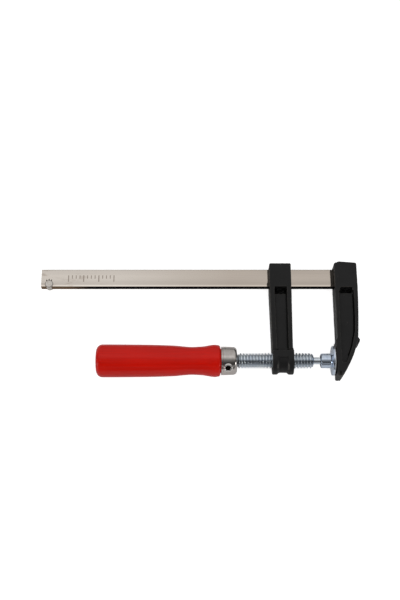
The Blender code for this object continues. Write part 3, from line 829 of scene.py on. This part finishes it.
def make_sliding_arm(look):
    left, right = local(arm_low).x, local(arm_high).x - 0.3 * MM
    top = local(arm_high).y
    foot, waist, rib = 3.0 * MM, 46.5 * MM, 3.1 * MM
    lean = 0.9 * MM                    # how far its left side leans in towards the foot
    outline = rounded([
        (left + lean, foot, 0), (right - 0.3 * MM, foot, 0), (right, waist, 0),
        (right, top, 0.7 * MM), (left, top, 0.7 * MM), (left, waist, 0),
    ])
    arm = shape("sliding_arm_casting", prism(outline, -CASTING_HALF, CASTING_HALF, CASTING_EDGE))
    sink(arm, rounded([
        (left + rib + lean, foot, 0), (right - rib, foot, 0),
        (right - rib, PANEL_TOP, 1.2 * MM), (left + rib, PANEL_TOP, 1.2 * MM),
    ]))
    boss_left, boss_right, boss_half = -40.9 * MM, local(arm_high).x, 8.65 * MM
    front = rectangle(boss_left, boss_right, 0, 4.9 * MM)
    combine(arm, prism(front, -boss_half, boss_half, 0.5 * MM), "UNION")
    # a channel that the core leaves along the right rib, and one across the top of the boss
    channel = rectangle(right - rib - 0.65 * MM, right - rib, BOSS_GROOVE[0], RIB_TOP)
    sink(arm, channel, 3.6 * MM)
    sink(arm, rectangle(left + 0.5 * MM, right + 0.5 * MM, *BOSS_GROOVE), 4.4 * MM)
    collars = spool(boss_left, boss_right, 8.9 * MM, 7.7 * MM, (-37.3 * MM, -31.1 * MM))
    combine(arm, collars, "UNION")
    combine(arm, rail_slot(left - 2 * MM, right + 2 * MM), "DIFFERENCE")
    opening = window(left + rib, right - rib, 44.2 * MM, 48.5 * MM)
    combine(arm, prism(opening, -CUT_PAST, CUT_PAST), "DIFFERENCE")
    combine(arm, rod(5.3 * MM, boss_left - 2 * MM, boss_right + 2 * MM, steps=64), "DIFFERENCE")
    weather(arm, 11.0)
    # painted highlight: pale streaks on the inner edges of the boss's two collars
    mark(arm, "rubbed_and_highlight", [
        (rectangle(*sides), CASTING_HALF)
        for sides in mm((-38.2, -37.3, -6.6, -2.6), (-31.2, -30.3, -7.4, -3.4))
    ])
    # painted shade: the channels, the groove across the boss and the window are marked for the enamel
    # to darken
    mark(arm, "shaded_recess", [
        (channel, WEB_HALF),
        (rectangle(left + 0.4 * MM, right, *BOSS_GROOVE), CASTING_HALF - 0.4 * MM),
        (opening, CASTING_HALF - 0.6 * MM),
    ])
    place(arm, "arm", look, ["sliding_arm"], 180)


# ---------------- spindle

PITCH = 2.0 * MM
CREST = 5.05 * MM
CORE = 3.95 * MM
THREAD = (-63.2 * MM, -14.6 * MM)      # x of its two ends
BALL_X = -6.0 * MM
BALL_RADIUS = 3.25 * MM
NECK_RADIUS = 2.25 * MM
TANG_RADIUS = 3.5 * MM                 # the plain end inside the handle
TANG_END = -105.2 * MM


def thread_profile():
    """(share of the pitch, radius) round a rolled thread: soft crest, soft root."""
    count, crest_at, steep = 12, 0.375, 2.1
    points = []
    for t in (i / count for i in range(count)):
        wave = math.cos(math.tau * (t - crest_at))
        level = 0.5 + 0.5 * math.tanh(steep * wave) / math.tanh(steep)
        points.append((t, CORE + (CREST - CORE) * level))
    return points


def thread_mesh():
    profile = thread_profile()
    steps = 40
    x0, x1 = THREAD
    first_x = (math.floor(x0 / PITCH) - 2) * PITCH
    turns = math.ceil((x1 - x0) / PITCH) + 4
    bm = bmesh.new()
    rows = []
    for i in range(turns * steps + 1):
        angle = math.tau * i / steps
        row = []
        for share, radius in profile:
            x = first_x + PITCH * i / steps + PITCH * share
            # the thread runs out in a chamfer at both ends
            end = min(x - x0, x1 - x)
            held = min(radius, CORE - 0.1 * MM + max(0.0, end) * 0.95)
            x = min(max(x, x0), x1)
            row.append(bm.verts.new((x, held * math.cos(angle), held * math.sin(angle))))
        rows.append(row)
    count = len(profile)
    for step in range(len(rows) - 1 - steps):
        for index in range(count):
            ahead = (rows[step + steps][0], rows[step + 1 + steps][0])
            near = rows[step][index + 1] if index + 1 < count else ahead[0]
            far = rows[step + 1][index + 1] if index + 1 < count else ahead[1]
            corners = [rows[step][index], rows[step + 1][index], far, near]
            if len({tuple(round(c, 8) for c in v.co) for v in corners}) < 3:
                continue
            bm.faces.new(corners)
    bmesh.ops.delete(bm, geom=[v for v in bm.verts if not v.link_faces], context="VERTS")
    bmesh.ops.dissolve_degenerate(bm, edges=bm.edges, dist=TOUCHING)
    bmesh.ops.remove_doubles(bm, verts=bm.verts, dist=10 * TOUCHING)
    return bm


def make_spindle(look):
    thread = shape("spindle_thread", thread_mesh(), 60)
    neck_angle = math.degrees(math.asin(NECK_RADIUS / BALL_RADIUS))
    fillet, chamfer, bar = 0.6 * MM, 0.8 * MM, CORE - 0.15 * MM
    profile = [(TANG_END, 0), (TANG_END, TANG_RADIUS - chamfer)]
    profile += [(TANG_END + chamfer, TANG_RADIUS), (THREAD[0] - 0.1 * MM, TANG_RADIUS)]
    profile += [(THREAD[0], bar), (THREAD[1] - 0.9 * MM, bar), (THREAD[1], CORE - 0.55 * MM)]
    profile += arc((THREAD[1] + fillet * 1.2, NECK_RADIUS + fillet), fillet, 180, 270, 6)
    profile += arc((BALL_X, 0), BALL_RADIUS, 180 - neck_angle, 0, 24)[:-1]
    profile += [(BALL_X + BALL_RADIUS, 0)]
    core = shape("spindle_core", turned(profile, steps=64))
    place(thread, "spindle_and_handle", look, ["spindle"], 60)
    place(core, "spindle_and_handle", look, ["spindle"], 40)


# ---------------- handle, ferrule and pin

PIN_X = -69.3 * MM
PIN_HOLE = 1.80 * MM
PIN_TURN = math.radians(45.8)
DRILL_HALF = 12 * MM
HANDLE_MOUTH = -74.2 * MM


def across_pin(bm):
    """Lay a shape drawn about the x axis along the handle's pin instead."""
    bm.transform(
        Matrix.Translation((PIN_X, 0, 0))
        @ Matrix.Rotation(PIN_TURN, 4, "X")
        @ Matrix.Rotation(-math.pi / 2, 4, "Y")
    )
    return bm


def make_handle(look):
    left, right = local(handle_low).x, HANDLE_MOUTH
    radius = (handle_high.y - handle_low.y) / 2
    free, inner, neck = 4.0 * MM, 1.7 * MM, 10.2 * MM
    body = smooth_profile([
        (left + free, radius),
        *mm((-120.0, 10.35), (-104.0, 9.85), (-98.5, 9.35), (-92.5, 8.95), (-86.0, 9.25)),
        (right - inner - 1.8 * MM, neck + 0.2 * MM), (right - inner, neck),
    ], 8)
    bore, bore_end = TANG_RADIUS + 0.3 * MM, TANG_END - 0.3 * MM
    tenon, bevel = 7.8 * MM, 1.2 * MM
    tenon_end = local(ferrule_high).x - 1.7 * MM
    profile = [(left, 0), (left, radius * 0.3)]
    profile += arc((left + free, radius - free), free, 180, 90, 16)[:-1]
    profile += body[:-1]
    profile += arc((right - inner, neck - inner), inner, 90, 0, 8)
    profile += [
        (right, tenon), (tenon_end - bevel, tenon), (tenon_end, tenon - bevel),
        (tenon_end, bore), (bore_end, bore), (bore_end, 0),
    ]
    handle = shape("handle_turned_wood", turned(profile, steps=128))
    combine(handle, across_pin(rod(PIN_HOLE, -DRILL_HALF, DRILL_HALF)), "DIFFERENCE")
    place(handle, "spindle_and_handle", look, ["handle"], 40)


def hole_lip(side):
    """The pierced metal that stands up round the pin's hole as a rolled lip."""
    around, tube = 48, 12
    lip_radius, half_width, rise = PIN_HOLE + 0.55 * MM, 0.63 * MM, 0.66 * MM
    seat_radius = 9.15 * MM
    bm = bmesh.new()
    rows = []
    for a in (math.tau * i / around for i in range(around)):
        row = []
        for b in (math.tau * j / tube for j in range(tube)):
            reach = lip_radius + half_width * math.cos(b)
            across = reach * math.sin(a)
            seat = math.sqrt(max(0.0, seat_radius ** 2 - across ** 2))
            height = side * (seat + rise * math.sin(b))
            row.append(bm.verts.new((height, across, reach * math.cos(a))))
        rows.append(row)
    for i in range(around):
        ahead = rows[(i + 1) % around]
        for j in range(tube):
            bm.faces.new((rows[i][j], ahead[j], ahead[(j + 1) % tube], rows[i][(j + 1) % tube]))
    return bm


def make_ferrule(look, lip_look):
    left, right = local(ferrule_low).x, local(ferrule_high).x
    left_radius, right_radius = 9.2 * MM, 9.0 * MM
    wall, end_wall, corner, lip = 1.1 * MM, 1.4 * MM, 2.5 * MM, 0.25 * MM
    bore, end_bore = left_radius - wall, TANG_RADIUS + 0.4 * MM
    profile = [(left + lip, bore), (left, bore + lip), (left, left_radius - lip)]
    profile += arc((left + lip, left_radius - lip), lip, 180, 90, 5)[1:]
    # a shallow rolled groove behind the mouth
    bead, groove, floor = left + 1.1 * MM, 0.3 * MM, left_radius - 0.14 * MM
    profile += [(bead - groove, left_radius), (bead - groove / 2, floor),
                (bead + groove / 2, floor), (bead + groove, left_radius)]
    profile += arc((right - corner, right_radius - corner), corner, 90, 0, 14)
    profile += [(right, end_bore + 0.5 * MM), (right - 0.3 * MM, end_bore)]
    profile += [(right - end_wall, end_bore), (right - end_wall, bore - corner / 2)]
    profile += [(right - end_wall - corner / 2, bore)]
    ferrule = shape("ferrule_drawn_cap", turned(profile, closed=True, steps=128))
    combine(ferrule, across_pin(rod(PIN_HOLE, -DRILL_HALF, DRILL_HALF)), "DIFFERENCE")
    for side, end in ((1, "front"), (-1, "back")):
        rim = shape(f"ferrule_hole_lip_{end}", across_pin(hole_lip(side)), 60)
        place(rim, "spindle_and_handle", lip_look, [], 60)
    place(ferrule, "spindle_and_handle", look, ["ferrule"], 40)


def make_pin(look):
    outer, inner, half, edge = 1.5 * MM, 0.8 * MM, 5.6 * MM, 0.2 * MM
    tube = turned([
        (-half, inner), (-half, outer - edge), (-half + edge, outer),
        (half - edge, outer), (half, outer - edge), (half, inner),
    ], closed=True, steps=40)
    pin = shape("handle_roll_pin", across_pin(tube))
    slit = prism(rectangle(*mm((-9, 9, -0.2, 0.2))[0]), 0, 2 * MM)
    combine(pin, across_pin(slit), "DIFFERENCE")
    place(pin, "spindle_and_handle", look, ["handle_pin"], 40)


# ---------------- swivel pad and its ring

RING_X = 2.4 * MM                      # how far behind the ball's centre the wire ring sits
POCKET = (1.65 * MM, 3.15 * MM)        # how far behind it the ring's pocket starts and ends


def make_ring(look):
    inner, outer = 2.9 * MM, 3.7 * MM
    section = arc((BALL_X - RING_X, (inner + outer) / 2), (outer - inner) / 2, 0, 330, 11)
    ring = shape("ball_retaining_wire", turned(section, closed=True, steps=96))
    gap = rectangle(BALL_X - 4 * MM, BALL_X, -0.5 * MM, 0.5 * MM)
    combine(ring, prism(gap, 0, 5 * MM), "DIFFERENCE")
    place(ring, "pad_ring", look, ["ball_retaining_ring"], 50)


def make_pad(look):
    face, rim, dish = -0.8 * MM, 1.7 * MM, 0.25 * MM
    radius, hub = 9.5 * MM, 4.75 * MM
    back, hub_left = face - rim, BALL_X - 3.8 * MM
    edge, back_edge, hub_edge, throat = 0.5 * MM, 0.3 * MM, 0.9 * MM, 1.1 * MM
    mouth, groove = 3.5 * MM, 4.05 * MM
    profile = [(face - dish, 0), (face - dish, 5.2 * MM), (face, 5.6 * MM)]
    profile += arc((face - edge, radius - edge), edge, 0, 90, 6)
    profile += arc((back + back_edge, radius - back_edge), back_edge, 90, 180, 6)
    # dished back: a quick flare from the hub out to the rim
    flare, steps = [(back - 0.10 * MM, 8.4 * MM), (back - 0.45 * MM, 6.9 * MM)], 5
    for t in (step / steps for step in range(steps)):
        profile.append(tuple(a + (b - a) * t for a, b in zip(*flare)))
    profile += arc((back - 0.55 * MM - throat, hub + throat), throat, 0, -90, 8)
    profile += [(back - 3.4 * MM, hub)]
    profile += arc((hub_left + hub_edge, hub - hub_edge), hub_edge, 90, 180, 8)
    profile += [(hub_left, mouth), (hub_left + 0.5 * MM, mouth), (BALL_X - POCKET[1], mouth)]
    profile += [(BALL_X - POCKET[1], groove), (BALL_X - POCKET[0], groove)]
    socket = BALL_RADIUS + 0.3 * MM
    start = math.degrees(math.acos(-POCKET[0] / socket))
    profile += arc((BALL_X, 0), socket, start, 0, 20)[:-1]
    profile += [(BALL_X + socket, 0)]
    pad = shape("swivel_pad_turned", turned(profile, steps=128))
    place(pad, "pad", look, ["swivel_pad"], 30)


# ---------------- studio

# brightness of the light tent by degrees from straight up; below zero is the viewer's side
TENT = (
    (-100, 0.30), (-88, 0.22), (-74, 0.10), (-67, 0.30), (-58, 0.30), (-50, 0.07), (-33, 0.06),
    (-25, 0.12), (-14, 0.20), (-6, 0.28), (0, 0.44), (7, 0.60), (15, 0.80), (24, 0.76),
    (36, 0.64), (60, 0.58), (82, 0.48), (95, 0.30),
)
END_SHARE = 0.45                       # the tent is dimmer past the handle and past the jaw
LAMP_LEVEL = 6.0                       # a small low lamp at each end, on the viewer's side
BACKDROP = 1.1                         # what the tent shows where the floor ends
FILL_SPOT = (0.0, -0.50, 1.08)         # a broad soft light from the viewer's side
FILL_SIZE = (0.9, 0.7)
FILL_POWER = 6.0
FLOOR_HALF = 6.0
FLOOR_DROP = 0.2 * MM                  # the floor lies just under the clamp
FLOOR_GLOW = 0.75                      # what it emits, to camera rays only
CAMERA_SPOT = (0.0008, -0.2107, 0.6289)
CAMERA_TILT = math.radians(20)
CAMERA_LENS = 60.0


def make_floor():
    bm = bmesh.new()
    bmesh.ops.create_grid(bm, x_segments=24, y_segments=24, size=FLOOR_HALF)
    mesh = bpy.data.meshes.new("studio_floor")
    bm.to_mesh(mesh)
    bm.free()
    floor = add("studio_floor", mesh)
    floor.location.z = -FLOOR_DROP
    # lit from within for the eye, as an overexposed sweep is, while what it throws back stays dim
    look = Look("pale_floor")
    tone = look.span(look.grain((14, 14, 14), detail=2), 0.3, 0.7, 0.985, 1.0)
    seen = look.node("ShaderNodeLightPath").outputs["Is Camera Ray"]
    look.finish(
        Base_Color=look.shade((0.78, 0.78, 0.78), tone), Roughness=0.9, Specular_IOR_Level=0.0,
        Emission_Color=(1.0, 1.0, 1.0, 1.0), Emission_Strength=look.times(seen, FLOOR_GLOW),
    )
    mesh.materials.append(look.material)


def make_fill():
    """The broad soft light, which polished metal doesn't mirror."""
    lamp = bpy.data.lights.new("viewer_side_fill", "AREA")
    lamp.shape = "RECTANGLE"
    lamp.size, lamp.size_y = FILL_SIZE
    lamp.energy = FILL_POWER
    fill = add("viewer_side_fill", lamp)
    fill.location = FILL_SPOT
    aim = Vector((0.0, 0.0, 0.0)) - Vector(FILL_SPOT)
    fill.rotation_euler = aim.to_track_quat("-Z", "Y").to_euler()
    fill.visible_glossy = False


def make_world():
    """A light tent: bright behind and above, dimmer on the viewer's side."""
    world = bpy.data.worlds.new("light_tent")
    bpy.context.scene.world = world
    world.use_nodes = True
    tent = Nodes(world.node_tree)
    way = tent.split(tent.node("ShaderNodeTexCoord").outputs["Generated"])
    turn = tent.maths("ARCTAN2", way["Y"], way["Z"])
    ramp = tent.node("ShaderNodeValToRGB")
    tent.feed(ramp.inputs["Fac"], tent.maths("ADD", tent.maths("DIVIDE", turn, math.tau), 0.5))
    stops = ramp.color_ramp.elements
    while len(stops) < len(TENT):
        stops.new(0.5)
    for stop, (degrees, level) in zip(stops, TENT):
        stop.position = degrees / 360 + 0.5
        stop.color = (level, level, level, 1.0)
    sideways = tent.maths("ABSOLUTE", way["X"])
    held = tent.times(ramp.outputs["Color"],
                      tent.span(sideways, 0.70, 0.90, 1.0, END_SHARE, smooth=True))
    lamps = tent.times(
        tent.span(sideways, 0.90, 0.94, 0.0, LAMP_LEVEL, smooth=True),
        tent.span(way["Y"], -0.12, -0.22, smooth=True),
        tent.span(way["Z"], 0.24, 0.18, smooth=True),
    )
    seen = tent.node("ShaderNodeLightPath").outputs["Is Camera Ray"]
    background = tent.tree.nodes["Background"]
    background.inputs["Color"].default_value = (1.0, 0.99, 0.98, 1.0)
    tent.feed(background.inputs["Strength"],
              tent.maths("MAXIMUM", tent.maths("ADD", held, lamps), tent.times(seen, BACKDROP)))


def make_camera():
    data = bpy.data.cameras.new("camera")
    data.lens = CAMERA_LENS
    data.sensor_width = 36.0
    data.clip_start = 0.01
    data.clip_end = 100.0
    camera = add("camera", data)
    camera.location = CAMERA_SPOT
    camera.rotation_euler = (CAMERA_TILT, 0, 0)
    bpy.context.scene.camera = camera


def main():
    make_camera()
    make_world()
    make_floor()
    make_fill()
    make_rail(rail_look())
    make_stop(steel_look("stop_pin_plated", (0.72, 0.69, 0.66), 0.27))
    make_fixed_jaw(enamel_look("jaw_black_enamel", (0.0120, 0.0120, 0.0123)))
    make_sliding_arm(enamel_look("arm_black_enamel", (0.0108, 0.0108, 0.0110)))
    make_spindle(zinc_look(
        "spindle_blue_zinc", (0.88, 0.95, 1.0), (0.78, 0.86, 0.97), (2600, 200, 200), CORE,
    ))
    make_handle(lacquer_look())
    make_ferrule(
        ferrule_look("ferrule_bright_nickel", (0.635, 0.600, 0.575), (0.55, 0.51, 0.485)),
        # painted highlight: the lip round the pin's hole is a paler copy of the nickel
        ferrule_look("ferrule_lip_highlight_nickel", (0.97, 0.94, 0.92), (0.88, 0.85, 0.83)),
    )
    make_pin(steel_look("roll_pin_steel", (0.20, 0.20, 0.205), 0.32))
    make_ring(steel_look("retaining_wire_steel", (0.35, 0.35, 0.37), 0.3))
    make_pad(zinc_look("pad_blue_zinc", (0.72, 0.81, 0.94), (0.62, 0.72, 0.88), (3200, 240, 240)))


bpy.context.scene.view_settings.view_transform = "Standard"
main()
